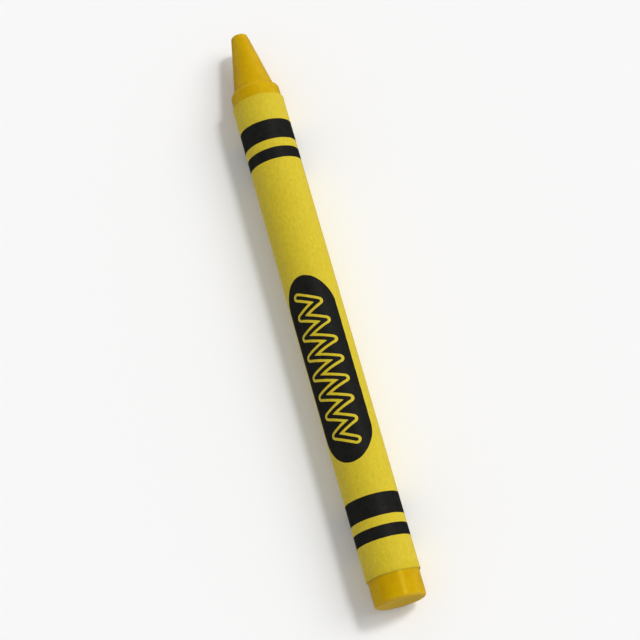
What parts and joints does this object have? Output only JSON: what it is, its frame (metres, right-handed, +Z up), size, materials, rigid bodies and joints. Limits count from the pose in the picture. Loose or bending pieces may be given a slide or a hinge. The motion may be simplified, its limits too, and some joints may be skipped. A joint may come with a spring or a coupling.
{
  "type": "wax crayon",
  "caption": "Round wax crayon with a conical tip and a flat dished end, in a pasted paper label with printed bands, a long panel and a scribble.",
  "frame": {"origin": "middle of the crayon's length and width, on the surface it lies on", "axes": "+X along the crayon towards its tip, +Z up from the surface it lies on, printed panel facing up"},
  "size_m": [0.0922, 0.008, 0.008],
  "materials": {
    "wax": "satin",
    "paste": "matte",
    "paper": "matte",
    "ink": "satin"
  },
  "bodies": {
    "root": {"wax_stick": "wax", "paste_film": "paste", "paper_label": "paper", "tip_band_outer": "ink", "tip_band_inner": "ink", "base_band_inner": "ink", "base_band_outer": "ink", "print_panel": "ink", "print_scribble": "ink"}
  },
  "joints": []
}
